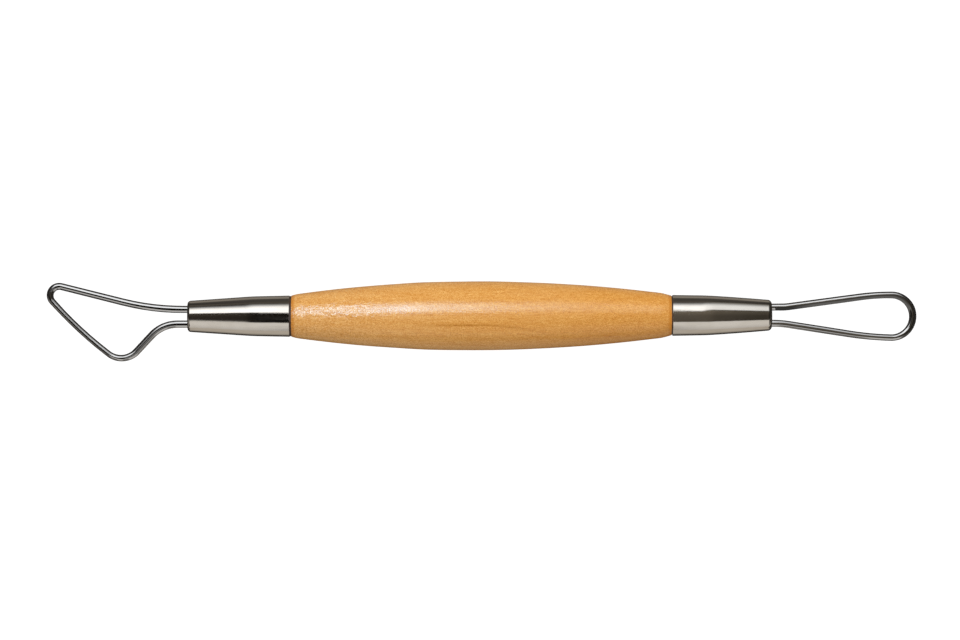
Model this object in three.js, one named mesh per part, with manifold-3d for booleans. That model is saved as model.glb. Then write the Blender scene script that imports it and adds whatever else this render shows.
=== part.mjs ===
// A double-ended wire loop tool, for trimming and hollowing clay: a turned hardwood handle with a
// plated ferrule on each end, a triangular wire loop in one and a teardrop loop in the other.
//
// Sizes are in millimetres. The tool lies along X with its loops flat and +Z up. The origin is the
// spot on the bench that the middle of the handle's belly rests on. The triangle points to -X.

import * as THREE from "three";
import { mergeVertices } from "three/addons/utils/BufferGeometryUtils.js";
import Module from "manifold-3d";

// The handle: one piece of wood, with a tenon turned on each end and a socket drilled in each tenon
const HANDLE_LENGTH = 89.4; // between its two shoulders
const BELLY_DIAMETER = 16.1;
const SHOULDER_DIAMETER = 9.9; // where the long curve of the belly would reach the shoulder
const SHOULDER_ROUND_LENGTH = 1.4; // the rounded edge of the shoulder, along the handle
const SHOULDER_ROUND_DEPTH = 0.25; // and towards the axis
const TENON_LENGTH = 8.4;
const TENON_CHAMFER = 0.5;
const SOCKET_DIAMETER = 6.35; // a quarter-inch drill
const SOCKET_DEPTH = 12.0; // from the tenon's end to where the drill point starts
const DRILL_POINT_ANGLE = 118; // degrees across the whole cone

// The ferrules: thin drawn tubes, a barrel and then a taper, with the mouth rolled inwards
const TRIANGLE_FERRULE_LENGTH = 23.7;
const TEARDROP_FERRULE_LENGTH = 22.8;
const FERRULE_BASE_DIAMETER = 9.7; // next to the handle
const FERRULE_WAIST_DIAMETER = 9.3; // where the barrel turns into the taper
const FERRULE_MOUTH_DIAMETER = 7.1;
const FERRULE_BARREL_LENGTH = 9.0;
const FERRULE_WAIST_BLEND = 3.0; // length of the soft bend between barrel and taper
const FERRULE_WALL = 0.4;
const LIP_RADIUS = 0.75; // outside radius of the rolled mouth
const BASE_EDGE_RADIUS = 0.15;

// The loops: spring wire, both legs of each loop held in its ferrule. A loop's length runs from the
// ferrule's mouth to its furthest corner, and its width from its highest corner to its lowest.
const WIRE_DIAMETER = 1.6;
const LEG_OFFSET = 1.8; // from the handle's axis to the middle of each leg
const LEG_END_GAP = 1.0; // from the start of the drill point to the cut ends of the legs
const TRIANGLE_LOOP_LENGTH = 36.0;
const TRIANGLE_LOOP_WIDTH = 20.1;
const TEARDROP_LOOP_LENGTH = 33.4;
const TEARDROP_LOOP_WIDTH = 10.4;

// The adhesive: resin poured round the legs
const RESIN_RECESS = 1.0; // from the ferrule's mouth in to the resin's face
const RESIN_DIP = 0.2; // how far the face sinks in its middle

// Clearances
const SHOULDER_GAP = 0.25; // the dark line between the shoulder and the ferrule
const GLUE_LINE = 0.15; // between any two pieces that are bonded together

// Bends of the two loops. Each corner is where the straights on both sides of a bend would meet. It
// lies at a share of the loop's length out from the mouth and a share of its width above the axis,
// and the bend's radius is a share of the length too. The first and last bends turn into the legs.
const TRIANGLE_BENDS = [
  { out: 0.197, radius: 0.83 }, // the long arm leaves its leg
  { out: 1.0, up: 0.408, radius: 0.053 }, // the sharp toe
  { out: 0.661, up: -0.219, radius: 4.17 }, // the cutting side, a little bowed
  { out: 0.428, up: -0.592, radius: 0.144 }, // the heel
  { out: 0.172, radius: 0.22 }, // the short arm runs back into its leg
];
const TEARDROP_BENDS = [
  { out: 0.084, radius: 0.57 }, // one side leaves its leg
  { out: 0.79, up: 0.471, radius: 0.45 }, // and curves into the round end
  { out: 0.979, up: 0.385, radius: 0.129 },
  { out: 1.0, up: -0.413, radius: 0.132 },
  { out: 0.79, up: -0.529, radius: 0.554 }, // the other side
  { out: 0.06, radius: 0.554 },
];

// How finely round shapes are cut into flats
const ROUND_SIDES = 24; // a multiple of 4, so that a flat faces the bench
const WIRE_SIDES = 12;
const BELLY_STEPS = 9; // odd, so that the middle one lies level on the bench
const EDGE_STEPS = 3;
const BEND_STEP = 10; // degrees turned in each step of a bend
const STRAIGHT_STEP = 8; // longest step along a straight wire

// Sizes that follow from those above
const QUARTER_TURN = Math.PI / 2;
const HALF_HANDLE = HANDLE_LENGTH / 2;
const BELLY_END = HALF_HANDLE - SHOULDER_ROUND_LENGTH; // from the middle to the rounded edge
const SHOULDER_FACE_RADIUS = SHOULDER_DIAMETER / 2 - SHOULDER_ROUND_DEPTH;
const BASE_RADIUS = FERRULE_BASE_DIAMETER / 2;
const WAIST_RADIUS = FERRULE_WAIST_DIAMETER / 2;
const MOUTH_RADIUS = FERRULE_MOUTH_DIAMETER / 2;
const SOCKET_RADIUS = SOCKET_DIAMETER / 2;
const DRILL_SLOPE = 1 / Math.tan(THREE.MathUtils.degToRad(DRILL_POINT_ANGLE / 2));
const WIRE_RADIUS = WIRE_DIAMETER / 2;

// Places along one end of the tool, all measured outwards from the handle's shoulder
const SOCKET_FLOOR = TENON_LENGTH - SOCKET_DEPTH; // inside the handle, so it is negative
const LEG_END = SOCKET_FLOOR + LEG_END_GAP;
const FERRULE_BASE = SHOULDER_GAP;
const WAIST = FERRULE_BASE + FERRULE_BARREL_LENGTH;
const mouthOf = (ferruleLength) => FERRULE_BASE + ferruleLength;

// A point of a turned profile. The lathe takes its radius first and its place along the axis second.
const point = (along, radius) => new THREE.Vector2(radius, along);

// Part of an ellipse in a profile: the angle is 0 straight out along the axis.
function roundedEdge(centre, alongRadius, acrossRadius, startAngle, endAngle) {
  return Array.from({ length: EDGE_STEPS + 1 }, (_, i) => {
    const angle = THREE.MathUtils.lerp(startAngle, endAngle, i / EDGE_STEPS);
    const along = centre.y + alongRadius * Math.cos(angle);
    return point(along, centre.x + acrossRadius * Math.sin(angle));
  });
}

// Turns a profile round the X axis, with a flat facing straight down.
function turned(profile) {
  const geometry = new THREE.LatheGeometry(profile, ROUND_SIDES, Math.PI / ROUND_SIDES);
  return geometry.rotateZ(-QUARTER_TURN);
}

// Outside radius of a ferrule: a straight barrel and a straight taper with a parabola between them.
function ferruleRadius(along, ferruleLength) {
  const barrelSlope = (WAIST_RADIUS - BASE_RADIUS) / FERRULE_BARREL_LENGTH;
  const taperSlope = (MOUTH_RADIUS - WAIST_RADIUS) / (ferruleLength - FERRULE_BARREL_LENGTH);
  const pastWaist = along - WAIST;
  const intoBlend = pastWaist + FERRULE_WAIST_BLEND / 2;
  if (intoBlend <= 0) {
    return WAIST_RADIUS + barrelSlope * pastWaist;
  }
  if (intoBlend >= FERRULE_WAIST_BLEND) {
    return WAIST_RADIUS + taperSlope * pastWaist;
  }
  const turnedAway = ((taperSlope - barrelSlope) * intoBlend ** 2) / (2 * FERRULE_WAIST_BLEND);
  return WAIST_RADIUS + barrelSlope * pastWaist + turnedAway;
}

const boreRadius = (along, ferruleLength) => ferruleRadius(along, ferruleLength) - FERRULE_WALL;

// Radius of whatever is glued into a ferrule.
const fillRadius = (along, ferruleLength) => boreRadius(along, ferruleLength) - GLUE_LINE;

// Places along the soft bend of a ferrule, from barrel to taper.
function waistStations() {
  const start = WAIST - FERRULE_WAIST_BLEND / 2;
  const step = FERRULE_WAIST_BLEND / EDGE_STEPS;
  return Array.from({ length: EDGE_STEPS + 1 }, (_, i) => start + i * step);
}

// Radius of the belly at a distance from the middle of the handle: one long arc, end to end.
function bellyRadius(fromMiddle) {
  const rise = (BELLY_DIAMETER - SHOULDER_DIAMETER) / 2;
  const arcRadius = (HALF_HANDLE ** 2 + rise ** 2) / (2 * rise);
  return BELLY_DIAMETER / 2 - arcRadius + Math.sqrt(arcRadius ** 2 - fromMiddle ** 2);
}

// Height of the tool's axis when the middle flat of the belly lies on the bench.
function axisHeight() {
  const flatEnd = BELLY_END / BELLY_STEPS;
  return bellyRadius(flatEnd) * Math.cos(Math.PI / ROUND_SIDES);
}

// One end of the handle: from the bottom of the socket out over the tenon and back to the belly.
function handleEndProfile(ferruleLength) {
  const chamferStart = TENON_LENGTH - TENON_CHAMFER;
  const chamferRadius = fillRadius(chamferStart, ferruleLength);
  const edgeCentre = point(-SHOULDER_ROUND_LENGTH, SHOULDER_FACE_RADIUS);
  const edgeDepth = bellyRadius(BELLY_END) - SHOULDER_FACE_RADIUS;
  return [
    point(SOCKET_FLOOR - SOCKET_RADIUS * DRILL_SLOPE, 0),
    point(SOCKET_FLOOR, SOCKET_RADIUS),
    point(TENON_LENGTH, SOCKET_RADIUS),
    point(TENON_LENGTH, chamferRadius - TENON_CHAMFER),
    point(chamferStart, chamferRadius),
    point(0, fillRadius(0, ferruleLength)),
    ...roundedEdge(edgeCentre, SHOULDER_ROUND_LENGTH, edgeDepth, 0, QUARTER_TURN),
  ];
}

function handleGeometry() {
  const placed = (profile, side) => profile.map((p) => point(side * (HALF_HANDLE + p.y), p.x));
  const triangleSide = placed(handleEndProfile(TRIANGLE_FERRULE_LENGTH), -1);
  const teardropSide = placed(handleEndProfile(TEARDROP_FERRULE_LENGTH), 1).reverse();
  const belly = Array.from({ length: BELLY_STEPS - 1 }, (_, i) => {
    const fromMiddle = THREE.MathUtils.lerp(-BELLY_END, BELLY_END, (i + 1) / BELLY_STEPS);
    return point(fromMiddle, bellyRadius(fromMiddle));
  });
  return turned([...triangleSide, ...belly, ...teardropSide]);
}

function ferruleGeometry(ferruleLength) {
  const outside = (along) => point(along, ferruleRadius(along, ferruleLength));
  const inside = (along) => point(along, boreRadius(along, ferruleLength));
  const lipAlong = mouthOf(ferruleLength) - LIP_RADIUS;
  const lipCentre = point(lipAlong, ferruleRadius(lipAlong, ferruleLength) - LIP_RADIUS);
  const lipBore = LIP_RADIUS - FERRULE_WALL;
  const edgeCentre = point(FERRULE_BASE + BASE_EDGE_RADIUS, BASE_RADIUS - BASE_EDGE_RADIUS);
  const waist = waistStations();
  return turned([
    inside(FERRULE_BASE),
    ...roundedEdge(edgeCentre, BASE_EDGE_RADIUS, BASE_EDGE_RADIUS, Math.PI, QUARTER_TURN),
    ...waist.map(outside),
    ...roundedEdge(lipCentre, LIP_RADIUS, LIP_RADIUS, QUARTER_TURN, 0),
    ...roundedEdge(lipCentre, lipBore, lipBore, 0, QUARTER_TURN),
    ...waist.map(inside).reverse(),
    inside(FERRULE_BASE),
  ]);
}

// A closed geometry as a solid that can be cut.
function solid(wasm, geometry) {
  const bare = geometry.clone();
  bare.deleteAttribute("normal");
  bare.deleteAttribute("uv");
  const merged = mergeVertices(bare);
  const vertProperties = merged.attributes.position.array;
  const triVerts = new Uint32Array(merged.index.array);
  return new wasm.Manifold(new wasm.Mesh({ numProp: 3, vertProperties, triVerts }));
}

// A cut solid as a geometry for a mesh.
function geometryOf(cutSolid) {
  const { vertProperties, triVerts } = cutSolid.getMesh();
  const geometry = new THREE.BufferGeometry();
  geometry.setAttribute("position", new THREE.BufferAttribute(vertProperties, 3));
  geometry.setIndex(new THREE.BufferAttribute(triVerts, 1));
  geometry.computeVertexNormals();
  return geometry;
}

// The resin before the legs are cut out of it: a stem in the socket and a plug in the taper.
function resinBlank(ferruleLength) {
  const stemRadius = SOCKET_RADIUS - GLUE_LINE;
  const stemFloor = SOCKET_FLOOR + GLUE_LINE;
  const back = TENON_LENGTH + GLUE_LINE;
  const face = mouthOf(ferruleLength) - RESIN_RECESS;
  const bend = waistStations().filter((along) => along > back);
  return turned([
    point(stemFloor - stemRadius * DRILL_SLOPE, 0),
    point(stemFloor, stemRadius),
    point(back, stemRadius),
    ...[back, ...bend, face].map((along) => point(along, fillRadius(along, ferruleLength))),
    point(face - RESIN_DIP, 0),
  ]);
}

function resinGeometry(wasm, ferruleLength) {
  const holeRadius = WIRE_RADIUS + GLUE_LINE;
  const holeStart = LEG_END - GLUE_LINE;
  const holeLength = mouthOf(ferruleLength) - holeStart;
  let plug = solid(wasm, resinBlank(ferruleLength));
  for (const side of [1, -1]) {
    const hole = new THREE.CylinderGeometry(holeRadius, holeRadius, holeLength, WIRE_SIDES);
    hole.rotateZ(QUARTER_TURN);
    hole.translate(holeStart + holeLength / 2, side * LEG_OFFSET, 0);
    plug = plug.subtract(solid(wasm, hole));
  }
  return geometryOf(plug);
}

// The middle line of a bent wire, given by stations that lie closest together in the bends.
class WireLine extends THREE.Curve {
  constructor(stations) {
    super();
    this.stations = stations;
  }
  stationAt(t) {
    return this.stations[Math.round(t * (this.stations.length - 1))];
  }
  getUtoTmapping(u) {
    return u;
  }
  getPoint(t, target = new THREE.Vector3()) {
    return target.copy(this.stationAt(t).place);
  }
  getTangent(t, target = new THREE.Vector3()) {
    return target.copy(this.stationAt(t).heading);
  }
}

// Stations along a straight piece of wire, without its first one.
function straightStations(from, to) {
  const heading = to.clone().sub(from).normalize();
  const steps = Math.ceil(from.distanceTo(to) / STRAIGHT_STEP);
  return Array.from({ length: steps }, (_, i) => {
    const place = from.clone().lerp(to, (i + 1) / steps);
    return { place, heading };
  });
}

// The bend that rounds off a corner: where it starts, and its stations after that.
function roundedCorner(before, corner, after, radius) {
  const arriving = corner.clone().sub(before).normalize();
  const leaving = after.clone().sub(corner).normalize();
  const turn = arriving.angleTo(leaving);
  const axis = arriving.clone().cross(leaving).normalize();
  const start = corner.clone().addScaledVector(arriving, -radius * Math.tan(turn / 2));
  const outward = arriving.clone().cross(axis).multiplyScalar(radius);
  const centre = start.clone().sub(outward);
  const steps = Math.ceil(THREE.MathUtils.radToDeg(turn) / BEND_STEP);
  const stations = Array.from({ length: steps }, (_, i) => {
    const angle = (turn * (i + 1)) / steps;
    const place = centre.clone().add(outward.clone().applyAxisAngle(axis, angle));
    const heading = arriving.clone().applyAxisAngle(axis, angle);
    return { place, heading };
  });
  return { start, stations };
}

// The corners of a loop, from the end of one leg to the end of the other.
function loopStops(loop, ferruleLength) {
  const mouth = mouthOf(ferruleLength);
  const corners = loop.bends.map(({ out, up }, i) => {
    const legSide = i === 0 ? LEG_OFFSET : -LEG_OFFSET;
    const height = up === undefined ? legSide : up * loop.width;
    return new THREE.Vector3(mouth + out * loop.length, height, 0);
  });
  const firstEnd = new THREE.Vector3(LEG_END, LEG_OFFSET, 0);
  const lastEnd = new THREE.Vector3(LEG_END, -LEG_OFFSET, 0);
  return [firstEnd, ...corners, lastEnd];
}

function wireLoopGeometry(loop, ferruleLength) {
  const stops = loopStops(loop, ferruleLength);
  const stations = [{ place: stops[0], heading: new THREE.Vector3(1, 0, 0) }];
  loop.bends.forEach(({ radius }, i) => {
    const bendRadius = radius * loop.length;
    const corner = roundedCorner(stops[i], stops[i + 1], stops[i + 2], bendRadius);
    stations.push(...straightStations(stations.at(-1).place, corner.start));
    stations.push(...corner.stations);
  });
  stations.push(...straightStations(stations.at(-1).place, stops.at(-1)));
  const section = new THREE.Shape();
  section.absarc(0, 0, WIRE_RADIUS, 0, 2 * Math.PI);
  return new THREE.ExtrudeGeometry(section, {
    steps: stations.length - 1,
    curveSegments: WIRE_SIDES / 2,
    extrudePath: new WireLine(stations),
  });
}

const wood = new THREE.MeshStandardMaterial({ color: 0xdca057, roughness: 0.45, metalness: 0 });
const nickel = new THREE.MeshStandardMaterial({ color: 0xc9c5bf, roughness: 0.12, metalness: 1 });
const steel = new THREE.MeshStandardMaterial({ color: 0xa9a7a4, roughness: 0.2, metalness: 1 });
const resin = new THREE.MeshStandardMaterial({ color: 0x6b4a26, roughness: 0.35, metalness: 0 });

function named(name, geometry, material) {
  const mesh = new THREE.Mesh(geometry, material);
  mesh.name = name;
  return mesh;
}

// One end of the tool, built outwards along +X from the handle's shoulder.
function toolEnd(wasm, shape, ferruleLength, loop) {
  const end = new THREE.Group();
  end.add(named(shape + "_ferrule", ferruleGeometry(ferruleLength), nickel));
  end.add(named(shape + "_wire_loop", wireLoopGeometry(loop, ferruleLength), steel));
  end.add(named(shape + "_resin_plug", resinGeometry(wasm, ferruleLength), resin));
  return end;
}

const wasm = await Module();
wasm.setup();

const triangleLoop = {
  length: TRIANGLE_LOOP_LENGTH,
  width: TRIANGLE_LOOP_WIDTH,
  bends: TRIANGLE_BENDS,
};
const triangleEnd = toolEnd(wasm, "triangle", TRIANGLE_FERRULE_LENGTH, triangleLoop);
triangleEnd.position.x = -HALF_HANDLE;
triangleEnd.rotation.y = Math.PI;

const teardropLoop = {
  length: TEARDROP_LOOP_LENGTH,
  width: TEARDROP_LOOP_WIDTH,
  bends: TEARDROP_BENDS,
};
const teardropEnd = toolEnd(wasm, "teardrop", TEARDROP_FERRULE_LENGTH, teardropLoop);
teardropEnd.position.x = HALF_HANDLE;

const tool = new THREE.Group();
tool.position.z = axisHeight();
tool.add(named("handle", handleGeometry(), wood), triangleEnd, teardropEnd);

export default tool;
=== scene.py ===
# %% [markdown]
# # A potter's wire loop tool
# The real tool is a turned hardwood handle with a bright metal ferrule pressed on each end. Each
# ferrule holds one bent loop of spring wire: a triangle on the left, a teardrop on the right.
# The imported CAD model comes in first. It is a fixed frame: it says where every piece sits, and
# each finer piece that this lesson builds goes exactly where the frame has its plain one.

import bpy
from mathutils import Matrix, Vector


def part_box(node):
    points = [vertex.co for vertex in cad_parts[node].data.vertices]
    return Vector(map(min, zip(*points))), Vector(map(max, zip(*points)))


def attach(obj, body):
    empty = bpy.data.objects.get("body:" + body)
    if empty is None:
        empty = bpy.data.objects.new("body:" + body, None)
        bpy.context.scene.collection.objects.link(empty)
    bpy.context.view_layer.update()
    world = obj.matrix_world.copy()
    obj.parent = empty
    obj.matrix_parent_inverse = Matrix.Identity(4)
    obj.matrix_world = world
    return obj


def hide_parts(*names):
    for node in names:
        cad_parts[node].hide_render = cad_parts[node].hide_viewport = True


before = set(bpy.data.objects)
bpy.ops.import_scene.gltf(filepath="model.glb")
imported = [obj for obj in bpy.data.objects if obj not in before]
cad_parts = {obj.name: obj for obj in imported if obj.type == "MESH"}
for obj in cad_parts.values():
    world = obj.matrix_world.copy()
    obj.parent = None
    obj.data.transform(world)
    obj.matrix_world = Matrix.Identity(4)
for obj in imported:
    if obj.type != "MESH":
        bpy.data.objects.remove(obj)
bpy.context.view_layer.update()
print("CAD nodes:", sorted(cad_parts))

# %% Tools and units
import math

import bmesh
import bpy
import numpy
from mathutils import Vector, noise

MM = 0.001  # the lesson thinks in millimetres, and Blender in metres


def span(node):
    """Lowest and highest corner of a CAD node, in millimetres."""
    low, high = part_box(node)
    return low / MM, high / MM


ferrule_low, ferrule_high = span("triangle_ferrule")
AXIS_HEIGHT = (ferrule_low.z + ferrule_high.z) / 2
TRIANGLE_MOUTH = ferrule_low.x
TEARDROP_MOUTH = span("teardrop_ferrule")[1].x
print(f"axis {AXIS_HEIGHT:.3f} mm up, mouths at {TRIANGLE_MOUTH:.2f} and {TEARDROP_MOUTH:.2f} mm")

# %% [markdown]
# ## Turning round pieces
# The handle, the ferrules and the resin are all round about the tool's long axis, as they come off
# a lathe. Blender has a Screw modifier for this, but a short loop in bmesh lets us also nudge each
# point a little, the way sanding by hand leaves a handle not quite true. A profile is a list of
# (place along the axis, radius) pairs, and a radius of zero closes the piece to a point.

# %% A lathe
def new_piece(name, bm, crease_angle=40):
    """Turns a finished bmesh into a smooth-shaded object, crisp where it folds sharply."""
    bmesh.ops.recalc_face_normals(bm, faces=bm.faces)
    mesh = bpy.data.meshes.new(name)
    bm.to_mesh(mesh)
    bm.free()
    mesh.shade_smooth()
    mesh.set_sharp_from_angle(angle=math.radians(crease_angle))
    piece = bpy.data.objects.new(name, mesh)
    bpy.context.scene.collection.objects.link(piece)
    print(f"{name}: {len(mesh.vertices)} points, {len(mesh.polygons)} faces")
    return piece


def on_axis(along, radius, angle):
    """A point of a round piece, in metres. Angle 0 is the top, and +90 degrees is the +Y side."""
    height = AXIS_HEIGHT + radius * math.cos(angle)
    return Vector((along, radius * math.sin(angle), height)) * MM


def turn(name, profile, sides, closed=False, nudge=None):
    """Spins a profile round the axis. A closed profile makes a ring, such as a tube."""
    bm = bmesh.new()
    rings = []
    for along, radius in profile:
        count = sides if radius > 0 else 1
        ring = []
        for k in range(count):
            angle = 2 * math.pi * k / sides
            extra = nudge(along, radius, angle) if nudge else 0
            ring.append(bm.verts.new(on_axis(along, radius + extra, angle)))
        rings.append(ring)
    following = rings[1:] + (rings[:1] if closed else [])
    for ring, next_ring in zip(rings, following):
        for k in range(sides):
            corners = [
                ring[k % len(ring)],
                next_ring[k % len(next_ring)],
                next_ring[(k + 1) % len(next_ring)],
                ring[(k + 1) % len(ring)],
            ]
            bm.faces.new(list(dict.fromkeys(corners)))
    return new_piece(name, bm)


def steps(start, end, count):
    """Evenly spaced numbers from start to end, both included."""
    return [start + (end - start) * i / count for i in range(count + 1)]


def rounded(along, radius, along_size, across_size, start, end, count):
    """Part of an ellipse in a profile. The angle is 0 along the axis and 90 degrees outwards."""
    angles = [math.radians(a) for a in steps(start, end, count)]
    return [
        (along + along_size * math.cos(a), radius + across_size * math.sin(a)) for a in angles
    ]


# %% [markdown]
# ## The handle
# The handle is one spindle of pale hardwood. Its belly is a single long curve, fattest in the
# middle, that ends in a softly rounded shoulder next to each ferrule. Inside, out of sight, a tenon
# carries the ferrule and a drilled socket takes the legs of the wire. A bead of dark glue fills
# the joint behind each ferrule.
#
# No hand-turned curve is perfect. The right half of the real one is a shade slimmer than the left,
# the left half swells a little in two places, and sanding has left the whole very slightly
# uneven, which shows only in the way the long highlight wanders.

# %% Sizes of the handle
HALF_HANDLE = 44.7
SHOULDER = {-1: 44.38, 1: 44.48}  # from the middle to the left and to the right shoulder
BELLY_RADIUS = 8.05
SHOULDER_RADIUS = 4.95  # where the long curve would reach the shoulder
SHOULDER_ROUND = {-1: 1.6, 1: 3.0}  # length of the rounded edge, softer on the right
SHOULDER_DROP = {-1: 0.2, 1: 0.36}  # and how far it falls below the long curve
SHOULDER_CURVE = 1.6  # the higher, the later the edge starts to fall
FACE_EDGE = 0.1  # small radius where the rounded edge meets the shoulder's flat face
BASE_GAP = {-1: 0.44, 1: 0.24}  # from the shoulder to the metal
GLUE_INSET = 0.12  # how far the bead of glue lies below the shoulder's edge
GLUE_CLEARANCE = 0.03  # how far it stops short of the metal
# How much is taken off or left on, and where that starts, is in full, starts to fade and ends.
RIGHT_HALF_SLIMMER, SLIMMER_PLACE = 0.065, (1, 14, 38, 44.7)
LEFT_SWELL, LEFT_SWELL_PLACE = 0.045, (-42, -30, -14, -8)
MIDDLE_SWELL, MIDDLE_SWELL_PLACE = 0.055, (-21, -14, -10, -4)
TENON_LENGTH = 8.4
TENON_RADIUS = 4.28
TENON_CHAMFER = 0.5
SOCKET_RADIUS = 3.17
SOCKET_FLOOR = -3.6  # measured out from the shoulder, so it lies inside the handle
DRILL_POINT = 1.9

HANDLE_SIDES = 144
SANDING_UNEVENNESS = 0.022


def smoothstep(low, high, value):
    t = min(max((value - low) / (high - low), 0), 1)
    return t * t * (3 - 2 * t)


def hump(x, start, full, fading, end):
    """1 between full and fading, and 0 before the start and after the end."""
    return smoothstep(start, full, x) * smoothstep(end, fading, x)


def belly_radius(x):
    """The long curve, an arc of a large circle, with the turner's small errors."""
    rise = BELLY_RADIUS - SHOULDER_RADIUS
    arc = (HALF_HANDLE**2 + rise**2) / (2 * rise)
    radius = BELLY_RADIUS - arc + math.sqrt(arc**2 - x**2)
    radius -= RIGHT_HALF_SLIMMER * hump(x, *SLIMMER_PLACE)
    radius += LEFT_SWELL * hump(x, *LEFT_SWELL_PLACE)
    return radius + MIDDLE_SWELL * hump(x, *MIDDLE_SWELL_PLACE)


def sanded(along, radius, angle):
    """How far sanding has left the surface off true, in millimetres."""
    if radius < SHOULDER_RADIUS:
        return 0
    fade = smoothstep(HALF_HANDLE - 1.5, HALF_HANDLE - 6, abs(along))
    place = Vector((along / 9, 1.6 * math.sin(angle), 1.6 * math.cos(angle)))
    return SANDING_UNEVENNESS * fade * noise.noise(place)


# %% Profile of the handle
def shoulder_radius(inside, side):
    """Radius at a distance inside the left (-1) or right (+1) shoulder, its edge rounded."""
    near = max(1 - inside / SHOULDER_ROUND[side], 0)
    drop = SHOULDER_DROP[side] * near**SHOULDER_CURVE
    return belly_radius(side * (SHOULDER[side] - inside)) - drop


def handle_end(side):
    """One end, from the bottom of the socket out over the tenon and back onto the belly."""
    chamfered = TENON_RADIUS - TENON_CHAMFER
    face_edge = shoulder_radius(FACE_EDGE, side) - FACE_EDGE
    edge = steps(FACE_EDGE, SHOULDER_ROUND[side], 16)[1:]
    glue_end = BASE_GAP[side] - GLUE_CLEARANCE
    glue_radius = face_edge + FACE_EDGE - GLUE_INSET
    return [
        (SOCKET_FLOOR - DRILL_POINT, 0),
        (SOCKET_FLOOR, SOCKET_RADIUS),
        (TENON_LENGTH, SOCKET_RADIUS),
        (TENON_LENGTH, chamfered),
        (TENON_LENGTH - TENON_CHAMFER, TENON_RADIUS),
        (glue_end, TENON_RADIUS),
        (glue_end, glue_radius),
        (0, glue_radius),
        *rounded(-FACE_EDGE, face_edge, FACE_EDGE, FACE_EDGE, 0, 90, 4),
        *[(-inside, shoulder_radius(inside, side)) for inside in edge],
    ]


def outwards(profile, side):
    """Moves a profile that is measured from the shoulder to the left (-1) or right (+1) end."""
    return [(side * (SHOULDER[side] + along), radius) for along, radius in profile]


left_end = outwards(handle_end(-1), -1)
right_end = outwards(handle_end(1), 1)
belly = [(x, belly_radius(x)) for x in steps(left_end[-1][0], right_end[-1][0], 150)[1:-1]]
handle = turn("turned_handle", left_end + belly + right_end[::-1], HANDLE_SIDES, nudge=sanded)

# %% [markdown]
# ## The ferrules
# Each ferrule is a thin tube drawn from one piece of metal: a straight barrel over the tenon, a
# soft bend, and a long taper whose mouth is rolled inwards. Mirror-bright metal shows every dent in
# a mesh, so the bend and the lip get plenty of steps. The wall is real, so the mouth looks like a
# tube's mouth and not like a painted dark spot.

# %% Sizes of the ferrules
BASE_RADIUS = {-1: 4.82, 1: 4.78}
WAIST_RADIUS = 4.65
MOUTH_RADIUS = {-1: 3.62, 1: 3.55}
WALL = 0.4
LIP_RADIUS = {-1: 0.75, 1: 1.0}
BASE_EDGE_RADIUS = 0.07
BASE_STEP = 0.02  # the first steps after that edge are tiny, so that its shading stays crisp
BARREL = {-1: 8.65, 1: 8.3}  # length of the straight part
WAIST_BLEND = 3.4  # length of the soft bend between barrel and taper
TAPER_CROWN = {-1: 0.0, 1: 0.045}  # the taper swells by this much half-way along
FERRULE_SIDES = 128


def ferrule_outside(side, barrel, length):
    """Outside radius as a function of the distance from the shoulder."""
    barrel_slope = (WAIST_RADIUS - BASE_RADIUS[side]) / barrel
    taper_slope = (MOUTH_RADIUS[side] - WAIST_RADIUS) / (length - barrel)

    def radius(along):
        past_waist = along - BASE_GAP[side] - barrel
        into_bend = min(max(past_waist + WAIST_BLEND / 2, 0), WAIST_BLEND)
        bent = (taper_slope - barrel_slope) * into_bend**2 / (2 * WAIST_BLEND)
        after = max(past_waist - WAIST_BLEND / 2, 0)
        straight = WAIST_RADIUS + barrel_slope * past_waist + (taper_slope - barrel_slope) * after
        crown = TAPER_CROWN[side] * math.sin(math.pi * max(past_waist, 0) / (length - barrel))
        return straight + bent + crown

    return radius


def ferrule_profile(side, barrel, length):
    outside = ferrule_outside(side, barrel, length)
    base, mouth = BASE_GAP[side], BASE_GAP[side] + length
    lip = LIP_RADIUS[side]
    lip_start, lip_bore = mouth - lip, lip - WALL
    lip_centre = outside(lip_start) - lip
    edge = base + BASE_EDGE_RADIUS
    stations = [edge, edge + BASE_STEP, *steps(edge + 2 * BASE_STEP, lip_start, 60)]
    edge_centre = outside(edge) - BASE_EDGE_RADIUS
    return [
        *rounded(edge, edge_centre, BASE_EDGE_RADIUS, BASE_EDGE_RADIUS, 180, 90, 6),
        *[(along, outside(along)) for along in stations[1:-1]],
        *rounded(lip_start, lip_centre, lip, lip, 90, 0, 16),
        *rounded(lip_start, lip_centre, lip_bore, lip_bore, 0, 90, 6),
        *[(along, outside(along) - WALL) for along in reversed(stations[1:-1])],
        (base, outside(edge) - WALL),
    ]


# %% Build both ferrules
RIGHT_MOUTH_FURTHER = 0.18  # the photograph shows it this much further out than the CAD model
FERRULE_LENGTH = {
    -1: -TRIANGLE_MOUTH - SHOULDER[-1] - BASE_GAP[-1],
    1: TEARDROP_MOUTH - SHOULDER[1] - BASE_GAP[1] + RIGHT_MOUTH_FURTHER,
}
triangle_profile = outwards(ferrule_profile(-1, BARREL[-1], FERRULE_LENGTH[-1]), -1)
teardrop_profile = outwards(ferrule_profile(1, BARREL[1], FERRULE_LENGTH[1]), 1)
triangle_ferrule = turn("ferrule_triangle_end", triangle_profile, FERRULE_SIDES, closed=True)
teardrop_ferrule = turn("ferrule_teardrop_end", teardrop_profile, FERRULE_SIDES, closed=True)

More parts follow.
